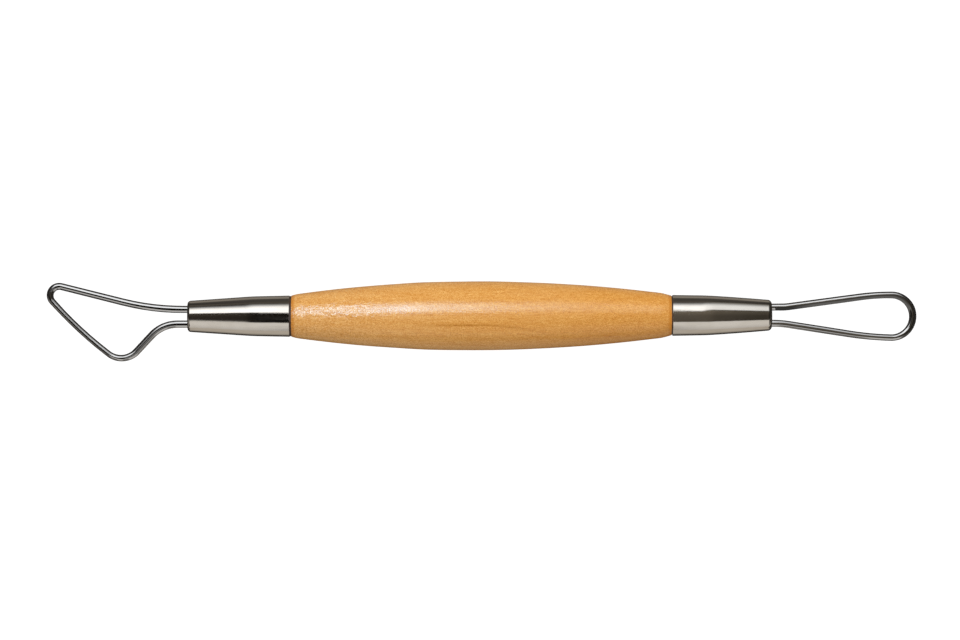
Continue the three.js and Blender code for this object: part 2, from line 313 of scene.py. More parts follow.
# %% [markdown]
# ## The wire loops
# A loop is one length of round spring wire, bent flat round pins in a jig, with both legs glued
# into the ferrule. A Bezier curve with a bevel would be quick, but its bends are not true arcs. So
# the centre line is laid out as the jig does it: straight runs between corners, each corner rounded
# to its own radius. Bent wire isn't quite round any more: seen from above it is wider here and
# thinner there, so its half width is given as stops along the wire. Each point remembers where it
# was on the straight wire, so that the drawing marks can follow it.

# %% Lay out a bent wire
WIRE_RADIUS = 0.8
WIRE_SIDES = 40
BEND_STEP = 3  # degrees between stations in a bend
STRAIGHT_STEP = 1.0  # millimetres between stations in a straight run


def round_corner(before, corner, after, radius):
    """Points and headings along the arc that rounds off one corner."""
    arriving = (corner - before).normalized()
    leaving = (after - corner).normalized()
    turn_angle = -arriving.angle_signed(leaving)
    start = corner - arriving * radius * math.tan(abs(turn_angle) / 2)
    side = math.copysign(1, turn_angle)
    centre = start + Vector((-arriving.y, arriving.x)) * radius * side
    count = max(6, math.ceil(math.degrees(abs(turn_angle)) / BEND_STEP))
    arc = []
    for a in steps(0, turn_angle, count):
        turned = Vector((
            arriving.x * math.cos(a) - arriving.y * math.sin(a),
            arriving.x * math.sin(a) + arriving.y * math.cos(a),
        ))
        place = centre - Vector((-turned.y, turned.x)) * radius * side
        arc.append((place, turned))
    return arc


def wire_line(corners, radii):
    """Stations along the whole wire: place and heading."""
    stations = [(corners[0], (corners[1] - corners[0]).normalized())]
    for i, radius in enumerate(radii):
        arc = round_corner(corners[i], corners[i + 1], corners[i + 2], radius)
        add_straight(stations, arc[0][0])
        stations.extend(arc[1:])
    add_straight(stations, corners[-1])
    return stations


def add_straight(stations, end):
    start = stations[-1][0]
    count = max(1, math.ceil((end - start).length / STRAIGHT_STEP))
    for t in steps(0, 1, count)[1:]:
        stations.append((start.lerp(end, t), (end - start).normalized()))


def stops(value, *pairs):
    """Reads a level off (value, level) stops, with straight lines between them."""
    return float(numpy.interp(value, [p[0] for p in pairs], [p[1] for p in pairs]))


# %% Sweep the wire's round section along its line
def sweep_wire(name, stations, half_widths):
    """Half widths are (run along the wire, half its width as seen from above) stops."""
    bm = bmesh.new()
    unbent = bm.verts.layers.float_vector.new("unbent")
    rings, run, last = [], 0, stations[0][0]
    for place, heading in stations:
        run += (place - last).length
        last = place
        half_width = stops(run, *half_widths)
        ring = []
        for k in range(WIRE_SIDES):
            a = 2 * math.pi * k / WIRE_SIDES
            across = half_width * math.cos(a)
            up = WIRE_RADIUS**2 / half_width * math.sin(a)
            spot = place + Vector((-heading.y, heading.x)) * across
            vert = bm.verts.new(Vector((spot.x, spot.y, AXIS_HEIGHT + up)) * MM)
            vert[unbent] = Vector((run, across, up)) * MM
            ring.append(vert)
        rings.append(ring)
    for ring, next_ring in zip(rings, rings[1:]):
        for k in range(WIRE_SIDES):
            j = (k + 1) % WIRE_SIDES
            bm.faces.new([ring[k], next_ring[k], next_ring[j], ring[j]])
    bm.faces.new(rings[0])
    bm.faces.new(rings[-1])
    print(f"{name}: {run:.1f} mm of wire")
    return new_piece(name, bm)


# %% Bend both loops
LEG_END = 42.1  # where the cut ends of the legs stop inside the handle
TRIANGLE_LEGS = (1.64, -1.81)  # upper and lower leg, from the axis
TEARDROP_LEGS = (1.91, -1.89)

triangle_corners = [
    Vector((-LEG_END, TRIANGLE_LEGS[0])),
    Vector((-76.85, TRIANGLE_LEGS[0])),  # the long arm leaves its leg
    Vector((-104.93, 8.73)),  # the sharp toe
    Vector((-94.05, -3.37)),  # the cutting side, a little bowed
    Vector((-83.62, -11.45)),  # the heel
    Vector((-74.63, TRIANGLE_LEGS[1])),  # the short arm runs back into its leg
    Vector((-LEG_END, TRIANGLE_LEGS[1])),
]
triangle_radii = [57.67, 2.13, 92.18, 4.91, 8.22]
triangle_widths = [
    (24, 0.8), (29, 0.87), (40, 0.85), (57, 0.83), (59.5, 0.84), (62, 0.77), (65, 0.72), (80, 0.72),
    (84, 0.78), (87, 0.87), (94, 0.88), (101, 0.87), (105, 0.8),
]
triangle_loop = sweep_wire(
    "triangle_loop", wire_line(triangle_corners, triangle_radii), triangle_widths
)

teardrop_corners = [
    Vector((LEG_END, TEARDROP_LEGS[0])),
    Vector((71.14, TEARDROP_LEGS[0])),
    Vector((92.32, 4.73)),  # one side curves into the round end
    Vector((100.55, 4.62)),
    Vector((101.3, -5.44)),
    Vector((90.82, -5.15)),
    Vector((70.1, TEARDROP_LEGS[1])),
    Vector((LEG_END, TEARDROP_LEGS[1])),
]
teardrop_radii = [14.4, 49.0, 4.98, 4.97, 77.0, 23.36]
teardrop_widths = [
    (24, 0.8), (28, 0.84), (43, 0.83), (48.5, 0.8), (53, 0.79), (58, 0.86), (60, 0.89), (62, 0.87),
    (66.5, 0.83), (68.7, 0.77), (73.7, 0.77), (81, 0.81), (86, 0.83), (98, 0.83), (103, 0.8),
]
teardrop_loop = sweep_wire(
    "teardrop_loop", wire_line(teardrop_corners, teardrop_radii), teardrop_widths
)

# %% [markdown]
# ## The resin in the mouths
# The legs are held by resin poured into the ferrule. Liquid resin creeps up whatever it touches
# before it sets, so its face dips in the middle and climbs a little at the metal wall and round
# each leg. The face is laid out as rings so that it can be raised there. The holes for the legs are
# then cut with a Boolean modifier, which is the simplest way to fit a plug round two wires.

# %% Pour the resin
RESIN_FACE = 1.0  # how far inside the mouth it stops
BORE_CLEARANCE = 0.02
TENON_CLEARANCE = 0.05
STEM_RADIUS = SOCKET_RADIUS - 0.03
STEM_POINT = SOCKET_FLOOR - DRILL_POINT + 0.1
RESIN_SIDES = 96
CREEP_HEIGHT = 0.35
CREEP_REACH = 0.3


def creep(distance):
    """How far the resin has climbed at a distance from something that it wets."""
    return CREEP_HEIGHT * math.exp(-max(distance, 0) / CREEP_REACH)


def resin_blank(name, side, legs):
    """A plug that fills the taper and the socket, its face raised where it wets wall and legs."""
    outside = ferrule_outside(side, BARREL[side], FERRULE_LENGTH[side])
    face = BASE_GAP[side] + FERRULE_LENGTH[side] - RESIN_FACE
    back = TENON_LENGTH + TENON_CLEARANCE
    wall = [(along, outside(along) - WALL - BORE_CLEARANCE) for along in steps(back, face, 24)]
    rim = wall[-1][1]
    rings = [(face, rim * t) for t in steps(1, 0, 24)[1:-1]]
    stem = [(STEM_POINT, 0), (SOCKET_FLOOR, STEM_RADIUS), (back, STEM_RADIUS)]
    plug = turn(name, outwards([*stem, *wall, *rings, (face, 0)], side), RESIN_SIDES)
    for vert in plug.data.vertices:
        along = side * vert.co.x / MM - SHOULDER[side]
        if along < face - 0.01:  # only the points of the face are raised
            continue
        y, z = vert.co.y / MM, vert.co.z / MM - AXIS_HEIGHT
        to_wall = creep(rim - math.hypot(y, z))
        to_legs = sum(creep(math.hypot(y - leg, z) - WIRE_RADIUS) for leg in legs)
        vert.co.x += side * (to_wall + min(to_legs, CREEP_HEIGHT)) * MM
    return plug


# %% Cut the holes for the legs
HOLE_RADIUS = WIRE_RADIUS + 0.02
DRILL_START = LEG_END - 0.1  # just past the cut ends of the legs
DRILL_END = 4 - TRIANGLE_MOUTH  # well outside either mouth


def drill_leg_holes(plug, side, legs):
    middle = side * (DRILL_START + DRILL_END) / 2 * MM
    bm = bmesh.new()
    for leg in legs:
        made = bmesh.ops.create_cone(
            bm, cap_ends=True, segments=48, radius1=HOLE_RADIUS * MM, radius2=HOLE_RADIUS * MM,
            depth=(DRILL_END - DRILL_START) * MM,
        )
        for vert in made["verts"]:
            along, across, up = vert.co.z, vert.co.y, vert.co.x
            vert.co = Vector((middle + along, across + leg * MM, up + AXIS_HEIGHT * MM))
    drill = new_piece(plug.name + "_drill", bm)
    cut = plug.modifiers.new("leg_holes", "BOOLEAN")
    cut.operation = "DIFFERENCE"
    cut.solver = "EXACT"
    cut.object = drill
    bpy.context.view_layer.update()
    result = plug.evaluated_get(bpy.context.evaluated_depsgraph_get())
    mesh = bpy.data.meshes.new_from_object(result)
    plug.modifiers.clear()
    plug.data = mesh
    mesh.set_sharp_from_angle(angle=math.radians(40))
    bpy.data.objects.remove(drill)
    print(f"{plug.name}: {len(mesh.polygons)} faces after drilling")


triangle_resin = resin_blank("resin_triangle_end", -1, TRIANGLE_LEGS)
drill_leg_holes(triangle_resin, -1, TRIANGLE_LEGS)
teardrop_resin = resin_blank("resin_teardrop_end", 1, TEARDROP_LEGS)
drill_leg_holes(teardrop_resin, 1, TEARDROP_LEGS)

# %% [markdown]
# ## Wiring up materials
# Every finish below is a small network of nodes. One helper adds a node and fills its inputs, with
# a plain value or with another node's output, which keeps each recipe down to a few lines.

# %% A helper for node networks
def add(tree, kind, inputs=None, **options):
    made = tree.nodes.new("ShaderNode" + kind)
    for option, value in options.items():
        setattr(made, option, value)
    for name, value in (inputs or {}).items():
        socket = made.inputs[name]
        if isinstance(value, bpy.types.NodeSocket):
            tree.links.new(value, socket)
        else:
            socket.default_value = value
    return made


def math_node(tree, operation, a, b=0.0, c=0.0):
    return add(tree, "Math", {0: a, 1: b, 2: c}, operation=operation).outputs[0]


def vector_math(tree, operation, a, b=(0, 0, 0)):
    return add(tree, "VectorMath", {0: a, 1: b}, operation=operation).outputs[0]


def remap(tree, value, low, high, to_low=0.0, to_high=1.0, smooth=True):
    """Moves a value from one range to another, with soft ends unless smooth is off."""
    ranged = {
        "Value": value, "From Min": low, "From Max": high, "To Min": to_low, "To Max": to_high,
    }
    kind = "SMOOTHSTEP" if smooth else "LINEAR"
    return add(tree, "MapRange", ranged, interpolation_type=kind).outputs["Result"]


def times(tree, value, factor):
    return math_node(tree, "MULTIPLY", value, factor)


def blend_colour(tree, amount, first, second, mode="MIX"):
    mixed = add(tree, "Mix", data_type="RGBA", blend_type=mode)
    for index, value in ((0, amount), (6, first), (7, second)):
        if isinstance(value, bpy.types.NodeSocket):
            tree.links.new(value, mixed.inputs[index])
        else:
            mixed.inputs[index].default_value = value
    return mixed.outputs[2]


def new_material(name):
    material = bpy.data.materials.new(name)
    material.use_nodes = True
    return material, material.node_tree


def dress(material, tone, roughness, height, relief, **plain):
    """Joins a recipe to the material's shader. The relief of its height is in millimetres."""
    tree = material.node_tree
    shader = tree.nodes["Principled BSDF"]
    bump = add(tree, "Bump", {"Strength": 1.0, "Distance": relief * MM, "Height": height})
    for name, value in ("Base Color", tone), ("Roughness", roughness), ("Normal", bump.outputs[0]):
        tree.links.new(value, shader.inputs[name])
    for name, value in plain.items():
        shader.inputs[name].default_value = value
    print(f"{material.name} has {len(tree.nodes)} nodes")


def colour(red, green, blue):
    return (red, green, blue, 1)


# %% [markdown]
# ### Effects that several finishes share
# Two effects turn up in more than one material, so each is a node group that is built once. "Long
# marks" gives fine lines that run one way: the fibres of the wood, the lines that a drawing die
# leaves on wire, the last strokes of a polishing wheel. "Specks" gives small scattered spots: pores
# and dust under varnish, pits in plating, bubbles in resin.

# %% Node group: long marks
def new_group(name, inputs, outputs):
    group = bpy.data.node_groups.new(name, "ShaderNodeTree")
    for label, (kind, default) in inputs.items():
        socket = group.interface.new_socket(label, in_out="INPUT", socket_type="NodeSocket" + kind)
        if default is not None:
            socket.default_value = default
    for label in outputs:
        group.interface.new_socket(label, in_out="OUTPUT", socket_type="NodeSocketFloat")
    return group, group.nodes.new("NodeGroupInput"), group.nodes.new("NodeGroupOutput")


LONG_MARKS, marks_in, marks_out = new_group(
    "long marks",
    {
        "Place": ("Vector", None),  # in millimetres, with X along the marks
        "Length": ("Float", 30.0),
        "Width": ("Float", 0.5),
        "Detail": ("Float", 4.0),
        "Contrast": ("Float", 1.0),
    },
    ["Mark"],
)
per_length = math_node(LONG_MARKS, "DIVIDE", 1.0, marks_in.outputs["Length"])
per_width = math_node(LONG_MARKS, "DIVIDE", 1.0, marks_in.outputs["Width"])
stretch = add(LONG_MARKS, "CombineXYZ", {"X": per_length, "Y": per_width, "Z": per_width})
stretched = vector_math(LONG_MARKS, "MULTIPLY", marks_in.outputs["Place"], stretch.outputs[0])
fibres = add(
    LONG_MARKS, "TexNoise",
    {"Vector": stretched, "Scale": 1.0, "Detail": marks_in.outputs["Detail"], "Roughness": 0.62},
)
centred = math_node(LONG_MARKS, "SUBTRACT", fibres.outputs[0], 0.5)
scaled = math_node(LONG_MARKS, "MULTIPLY_ADD", centred, marks_in.outputs["Contrast"], 0.5)
LONG_MARKS.links.new(scaled, marks_out.inputs["Mark"])
print("group:", LONG_MARKS.name)

# %% Node group: specks
SPECKS, specks_in, specks_out = new_group(
    "specks",
    {
        "Place": ("Vector", None),  # in millimetres
        "Size": ("Float", 0.4),
        "Rarity": ("Float", 0.6),  # from 0, all over, to 1, none
        "Softness": ("Float", 0.1),
    },
    ["Speck"],
)
per_size = math_node(SPECKS, "DIVIDE", 1.0, specks_in.outputs["Size"])
spots = add(
    SPECKS, "TexNoise",
    {"Vector": specks_in.outputs["Place"], "Scale": per_size, "Detail": 2.0, "Roughness": 0.5},
)
upper = math_node(SPECKS, "ADD", specks_in.outputs["Rarity"], specks_in.outputs["Softness"])
spotted = remap(SPECKS, spots.outputs[0], specks_in.outputs["Rarity"], upper)
SPECKS.links.new(spotted, specks_out.inputs["Speck"])
print("group:", SPECKS.name)


def marks(tree, place, length, width, detail=4.0, contrast=1.0):
    values = {
        "Place": place, "Length": length, "Width": width, "Detail": detail, "Contrast": contrast,
    }
    return add(tree, "Group", values, node_tree=LONG_MARKS).outputs["Mark"]


def specks(tree, place, size, rarity, softness=0.1):
    values = {"Place": place, "Size": size, "Rarity": rarity, "Softness": softness}
    return add(tree, "Group", values, node_tree=SPECKS).outputs["Speck"]


def place_from_axis(tree):
    """The place of a point in millimetres, measured from the middle of the tool's axis."""
    spot = add(tree, "TexCoord").outputs["Object"]
    centred = vector_math(tree, "SUBTRACT", spot, (0, 0, AXIS_HEIGHT * MM))
    return vector_math(tree, "MULTIPLY", centred, (1000, 1000, 1000))


# %% [markdown]
# ### Varnished wood
# The handle is straight-grained pale hardwood under amber varnish. Its grain runs the length of the
# tool: fine fibres, broader rings where the year's growth darkens, one brown streak, short flecks
# and a fine speckle of cells. Because the pattern is worked out in solid space, the curved surface
# cuts through it just as the lathe cuts through real wood. The varnish pools in a deeper orange
# line at each shoulder, and its skin is slightly pebbled and rippled, most of all at the left end.
# The near side of the right half is also deepened a little, which is painted shade.

# %% Varnished wood: the grain
AMBER = colour(0.77, 0.36, 0.074)
DEEP_AMBER = colour(0.65, 0.25, 0.03)
PALE_AMBER = colour(0.79, 0.4, 0.112)
STREAK_BROWN = colour(0.5, 0.18, 0.015)
POOLED_AMBER = colour(0.62, 0.22, 0.02)
GLUE_BROWN = colour(0.06, 0.025, 0.008)
MOTTLE_SHARES = (0.7, 1.35, 2.5)  # the speckles show least in red and most in blue
RING_WIDTH = 1.9
PITH = (0, -60, -35)  # the middle of the tree, as seen from the handle, in millimetres

varnished_wood, wood = new_material("varnished_wood")
place = place_from_axis(wood)
axes = add(wood, "SeparateXYZ", {0: place})
along, across, up = axes.outputs

fine_fibre = marks(wood, place, 26.0, 0.42, 5.0, 1.5)
broad_fibre = marks(wood, place, 60.0, 1.6, 3.0, 1.5)
drift = marks(wood, place, 40.0, 9.0, 2.0, 1.6)

from_pith = vector_math(wood, "SUBTRACT", place, PITH)
flat_from_pith = vector_math(wood, "MULTIPLY", from_pith, (0, 1, 1))
distance = add(wood, "VectorMath", {0: flat_from_pith}, operation="LENGTH").outputs["Value"]
wander = times(wood, marks(wood, place, 55.0, 14.0, 2.0, 1.0), 7.0)
year = math_node(wood, "DIVIDE", math_node(wood, "ADD", distance, wander), RING_WIDTH)
season = math_node(wood, "FRACT", year)
late_wood = times(wood, remap(wood, season, 0.55, 0.93), remap(wood, season, 1.0, 0.95))
print("grain ready, rings", RING_WIDTH, "mm wide")

# %% Varnished wood: streak, flecks and pooled varnish
STREAK_HEIGHT = -2.2  # across the tool, below the axis in the photograph
STREAK_SAG = -0.009  # how fast it bends away right of the middle
right_of_middle = math_node(wood, "MAXIMUM", along, 0.0)
sag = times(wood, math_node(wood, "POWER", right_of_middle, 2.0), STREAK_SAG)
streak_line = math_node(wood, "ADD", sag, STREAK_HEIGHT)
off_streak = math_node(wood, "ABSOLUTE", math_node(wood, "SUBTRACT", across, streak_line))
near_middle = remap(wood, math_node(wood, "ABSOLUTE", along), 17.0, 4.0)
streak = times(wood, remap(wood, off_streak, 0.5, 0.05), near_middle)
streak = times(wood, streak, remap(wood, fine_fibre, 0.25, 0.6))
streak = times(wood, streak, remap(wood, up, 0.0, 3.0))  # on the top side only

flecks = specks(wood, vector_math(wood, "MULTIPLY", place, (0.22, 1.0, 1.0)), 0.3, 0.6, 0.12)
pores = specks(wood, place, 0.32, 0.56, 0.2)
cells = specks(wood, vector_math(wood, "MULTIPLY", place, (0.8, 1.0, 1.0)), 0.2, 0.2, 0.6)
mottle = remap(wood, cells, 0.0, 1.0, 0.66, 1.34, smooth=False)
hairs = remap(wood, marks(wood, place, 2.6, 0.2, 2.0, 1.6), 0.2, 0.8, 0.89, 1.11, smooth=False)
mottle = times(wood, mottle, hairs)
middle = (SHOULDER[1] - SHOULDER[-1]) / 2
from_middle = math_node(wood, "ABSOLUTE", math_node(wood, "SUBTRACT", along, middle))
half = (SHOULDER[1] + SHOULDER[-1]) / 2
pooled = remap(wood, from_middle, half - 1.1, half - 0.4)
glue_dark = remap(wood, from_middle, half - 0.1, half + 0.02)

# %% Varnished wood: colour
# Painted shade: the near (-Y) side of the right half, turned away from the lamps, is deepened
# towards deep amber.
painted_shade_near_right = times(wood, remap(wood, across, 0.0, -6.0), remap(wood, along, 0.0, 35.0))
tone = AMBER
for amount, towards in (  # one layer over the other
    (remap(wood, drift, 0.3, 0.75, 0.0, 0.5), PALE_AMBER),
    (remap(wood, along, 10.0, -45.0), PALE_AMBER),  # paler to the left
    (remap(wood, along, -10.0, 45.0, 0.0, 0.22), DEEP_AMBER),  # and deeper to the right
    (times(wood, painted_shade_near_right, 0.5), DEEP_AMBER),
    (remap(wood, fine_fibre, 0.55, 0.1, 0.0, 0.28), DEEP_AMBER),
    (remap(wood, broad_fibre, 0.45, 0.1, 0.0, 0.25), DEEP_AMBER),
    (times(wood, late_wood, 0.22), DEEP_AMBER),
    (times(wood, streak, 0.92), STREAK_BROWN),
    (times(wood, flecks, 0.22), DEEP_AMBER),
    (times(wood, pores, 0.2), PALE_AMBER),
):
    tone = blend_colour(wood, amount, tone, towards)
by_channel = [math_node(wood, "POWER", mottle, share) for share in MOTTLE_SHARES]
mottled = add(wood, "CombineColor", dict(enumerate(by_channel))).outputs[0]
tone = blend_colour(wood, 1.0, tone, mottled, "MULTIPLY")
tone = blend_colour(wood, times(wood, pooled, 0.75), tone, POOLED_AMBER)
tone = blend_colour(wood, glue_dark, tone, GLUE_BROWN)
print("wood coloured, speckles at strengths", MOTTLE_SHARES)

# %% Varnished wood: the skin of the varnish
pebbles = specks(wood, place, 0.6, 0.2, 0.6)
dust = specks(wood, place, 0.3, 0.2, 0.6)
ripples = marks(wood, place, 1.5, 1.0, 1.0, 1.0)
left_end_rough = remap(wood, along, -12.0, -34.0, 0.36, 0.95)
skin = math_node(wood, "ADD", times(wood, pebbles, 0.9), times(wood, dust, 0.6))
skin = times(wood, skin, left_end_rough)
ripple_height = remap(wood, along, -20.0, -34.0, 0.2, 4.5)
skin = math_node(wood, "ADD", skin, times(wood, ripples, ripple_height))
height = math_node(wood, "ADD", skin, times(wood, fine_fibre, 0.5))
shine = remap(wood, broad_fibre, 0.2, 0.8, 0.22, 0.28)
shine = math_node(wood, "ADD", shine, times(wood, glue_dark, 0.4))
dress(varnished_wood, tone, shine, height, 0.036, IOR=1.5)

# %% [markdown]
# ### Bright nickel plate
# Plated ferrules are polished almost to a mirror, so what we see on them is the studio: a white
# band for the soft box, black for the card round the lens, warm grey for the reflector. The finish
# itself adds very little: fine strokes from the polishing wheel that blur the edges of those bands,
# faint clouds in the plating and a few tiny pits.

# %% Nickel plate
nickel_plate, nickel = new_material("nickel_plate")
place = place_from_axis(nickel)
wheel = marks(nickel, place, 14.0, 0.12, 3.0, 1.4)
clouds = marks(nickel, place, 7.0, 4.0, 2.0, 1.5)
pits = specks(nickel, place, 0.14, 0.72, 0.05)
cloudy_plate, clear_plate = colour(0.66, 0.632, 0.585), colour(0.7, 0.675, 0.635)
plate_tone = blend_colour(nickel, remap(nickel, clouds, 0.25, 0.75), cloudy_plate, clear_plate)
pit_brown = colour(0.3, 0.27, 0.23)
plate_tone = blend_colour(nickel, times(nickel, pits, 0.35), plate_tone, pit_brown)
blur = remap(nickel, wheel, 0.2, 0.8, 0.07, 0.13)
nickel_height = math_node(nickel, "ADD", times(nickel, wheel, 0.3), clouds)
dress(nickel_plate, plate_tone, blur, nickel_height, 0.004, Metallic=1.0)

# %% [markdown]
# ### Drawn spring wire
# Spring wire is pulled through a die, which leaves faint lines along its length, and it is a darker
# grey than the plating. The lines have to follow the wire round its bends, so they are placed with
# the coordinates that each point had on the straight wire.

# %% Spring wire
spring_wire, steel = new_material("spring_wire")
straight = add(steel, "Attribute", attribute_name="unbent").outputs["Vector"]
place = vector_math(steel, "MULTIPLY", straight, (1000, 1000, 1000))
drawn = marks(steel, place, 30.0, 0.16, 4.0, 1.5)
stain = marks(steel, place, 9.0, 3.0, 3.0, 1.6)
nicks = specks(steel, place, 0.2, 0.68, 0.06)
dark_line, bright_line = colour(0.49, 0.495, 0.5), colour(0.61, 0.615, 0.62)
steel_tone = blend_colour(steel, remap(steel, drawn, 0.2, 0.8), dark_line, bright_line)
stained, stain_grey = remap(steel, stain, 0.55, 0.2, 0.0, 0.35), colour(0.42, 0.42, 0.425)
steel_tone = blend_colour(steel, stained, steel_tone, stain_grey)
nick_grey = colour(0.25, 0.24, 0.235)
steel_tone = blend_colour(steel, times(steel, nicks, 0.4), steel_tone, nick_grey)
blur = remap(steel, drawn, 0.2, 0.8, 0.03, 0.06)
dress(spring_wire, steel_tone, blur, drawn, 0.004, Metallic=1.0)

# %% [markdown]
# ### Cured resin
# Only the face of the resin shows, deep in each mouth: brown, glossy, a little cloudy, with a few
# small bubbles that stopped at the surface.

# %% Resin
cured_resin, resin = new_material("cured_resin")
place = place_from_axis(resin)
cloudy = marks(resin, place, 2.0, 1.5, 3.0, 1.6)
bubbles = specks(resin, place, 0.35, 0.62, 0.05)
clear_resin, cloudy_resin = colour(0.1, 0.05, 0.018), colour(0.2, 0.115, 0.045)
resin_tone = blend_colour(resin, remap(resin, cloudy, 0.3, 0.7), clear_resin, cloudy_resin)
bubble_pale = colour(0.3, 0.2, 0.1)
resin_tone = blend_colour(resin, times(resin, bubbles, 0.5), resin_tone, bubble_pale)
blur = remap(resin, cloudy, 0.2, 0.8, 0.2, 0.36)
dress(cured_resin, resin_tone, blur, bubbles, 0.02, IOR=1.55)

# %% [markdown]
# ## Put every piece in its place
# Nothing on this tool moves, so everything rides on the one body, "root". Each piece takes the
# place of the CAD node that it refines. Each row also gives the name of the slot that its finish
# stands for, which nothing here uses.

# %% Dress and mount the pieces
for piece, finish, node, slot in (
    (handle, varnished_wood, "handle", "varnished_wood"),
    (triangle_ferrule, nickel_plate, "triangle_ferrule", "nickel_plate"),
    (teardrop_ferrule, nickel_plate, "teardrop_ferrule", "nickel_plate"),
    (triangle_loop, spring_wire, "triangle_wire_loop", "spring_wire"),
    (teardrop_loop, spring_wire, "teardrop_wire_loop", "spring_wire"),
    (triangle_resin, cured_resin, "triangle_resin_plug", "resin"),
    (teardrop_resin, cured_resin, "teardrop_resin_plug", "resin"),
):
    piece.data.materials.clear()
    piece.data.materials.append(finish)
    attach(piece, "root")
    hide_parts(node)
    print(piece.name, "stands for", node)

# %% [markdown]
# ## The camera
# The photograph looks straight down with a long lens, so a 200 mm lens more than a metre up gives
# the same flat view. The picture is 224.5 mm wide at the height of the axis. The tool rises very
# slightly to the right in the photograph, so the camera is turned by a tenth of a degree. The
# Standard view shows white as plain white.

# %% Camera
PICTURE_WIDTH = 224.5
PICTURE_CENTRE = (-0.29, -0.98)
LENS, SENSOR = 200, 36
TILT = -0.113

camera_data = bpy.data.cameras.new("camera")
camera_data.lens = LENS
camera_data.sensor_width = SENSOR
camera = bpy.data.objects.new("camera", camera_data)
distance_up = PICTURE_WIDTH * LENS / SENSOR
camera.location = Vector((*PICTURE_CENTRE, AXIS_HEIGHT + distance_up)) * MM
camera.rotation_euler = (0, 0, math.radians(TILT))
bpy.context.scene.collection.objects.link(camera)
bpy.context.scene.camera = camera
bpy.context.scene.view_settings.view_transform = "Standard"
print(f"camera {distance_up:.0f} mm above the axis")

# %% [markdown]
# ## The table
# The photograph's ground is pure white, and the tool's shadow on it is so soft that it all but
# vanishes. The table is a plain surface that takes the shadow, and it also glows. To the camera, in
# mirror reflections and through glass it glows enough to reach white. On the tool it sheds much
# less light, so that the underside of the wood stays as dark as in the photograph.

# %% White table
GLOW = 0.89
TABLE_BOUNCE = 0.3  # its glow for all other rays
TABLE_ALBEDO = 0.5
TABLE_HALF_WIDTH = 3  # metres


def seen_directly(tree):
    """1 for rays from the camera, in mirror reflections and through glass, else 0."""
    path = add(tree, "LightPath").outputs
    direct = math_node(tree, "MAXIMUM", path["Is Camera Ray"], path["Is Glossy Ray"])
    return math_node(tree, "MAXIMUM", direct, path["Is Transmission Ray"])


table_height = (AXIS_HEIGHT - BELLY_RADIUS - 0.02) * MM  # a hair under the belly
bm = bmesh.new()
bm.faces.new([
    bm.verts.new((x * TABLE_HALF_WIDTH, y * TABLE_HALF_WIDTH, table_height))
    for x, y in ((-1, -1), (1, -1), (1, 1), (-1, 1))
])
table = new_piece("table", bm)
table_paint, tree = new_material("table_paint")
table_shader = tree.nodes["Principled BSDF"]
table_shader.inputs["Base Color"].default_value = colour(TABLE_ALBEDO, TABLE_ALBEDO, TABLE_ALBEDO)
table_shader.inputs["Roughness"].default_value = 0.9
table_shader.inputs["Specular IOR Level"].default_value = 0.0
glow_level = remap(tree, seen_directly(tree), 0.0, 1.0, TABLE_BOUNCE, GLOW, smooth=False)
glow = add(tree, "Emission", {"Strength": glow_level})
both = add(tree, "AddShader", {0: table_shader.outputs[0], 1: glow.outputs[0]})
tree.links.new(both.outputs[0], tree.nodes["Material Output"].inputs["Surface"])
table.data.materials.append(table_paint)

# %% [markdown]
# ## The lights
# Wood and metal show light in different ways, so each gets its own. The colour of the wood comes
# from soft light all round and from two lamps beyond it that its varnish doesn't mirror. The long
# highlight comes from a row of lamps that it only mirrors, brightest at the left. They are tinted
# blue, because in the photograph the highlight adds more blue than red to the amber. A faint veil
# lies on the near side.
#
# All these lamps are linked to the handle, so they leave no mark on the metal.

# %% Soft light on everything
FILL = 0.5
CARD_RADIUS = 0.6

world = bpy.data.worlds.new("studio")
bpy.context.scene.world = world
world.use_nodes = True
sky = world.node_tree
level = remap(sky, seen_directly(sky), 0.0, 1.0, FILL, 1.0, smooth=False)
sky.links.new(level, sky.nodes["Background"].inputs["Strength"])
sky.nodes["Background"].inputs["Color"].default_value = colour(1, 1, 1)

# %% Lamps on the wood
LAMP_DISTANCE = 0.55
WATTS_PER_LEVEL = 4.0  # lamp power in watts, for each square metre and each step of brightness
NEUTRAL = (1, 1, 1)
wood_only = bpy.data.collections.new("lit_by_the_key_lamps")
wood_only.objects.link(handle)


def wood_lamp(name, left, right, low_angle, high_angle, level, tint):
    """A flat lamp over the tool, from left to right (mm) and between two angles round it."""
    middle = math.radians(low_angle + high_angle) / 2
    lamp = bpy.data.lights.new(name, "AREA")
    lamp.shape = "RECTANGLE"
    lamp.size = (right - left) * MM
    lamp.size_y = 2 * LAMP_DISTANCE * math.tan(math.radians(high_angle - low_angle) / 2)
    lamp.energy = WATTS_PER_LEVEL * level * lamp.size * lamp.size_y
    lamp.color = tint
    holder = bpy.data.objects.new(name, lamp)
    holder.location = (
        (left + right) / 2 * MM, LAMP_DISTANCE * math.sin(middle), LAMP_DISTANCE * math.cos(middle)
    )
    holder.rotation_euler = (-middle, 0, 0)
    holder.light_linking.receiver_collection = wood_only
    bpy.context.scene.collection.objects.link(holder)
    print(f"{name}: {lamp.energy:.2f} W")
    return holder


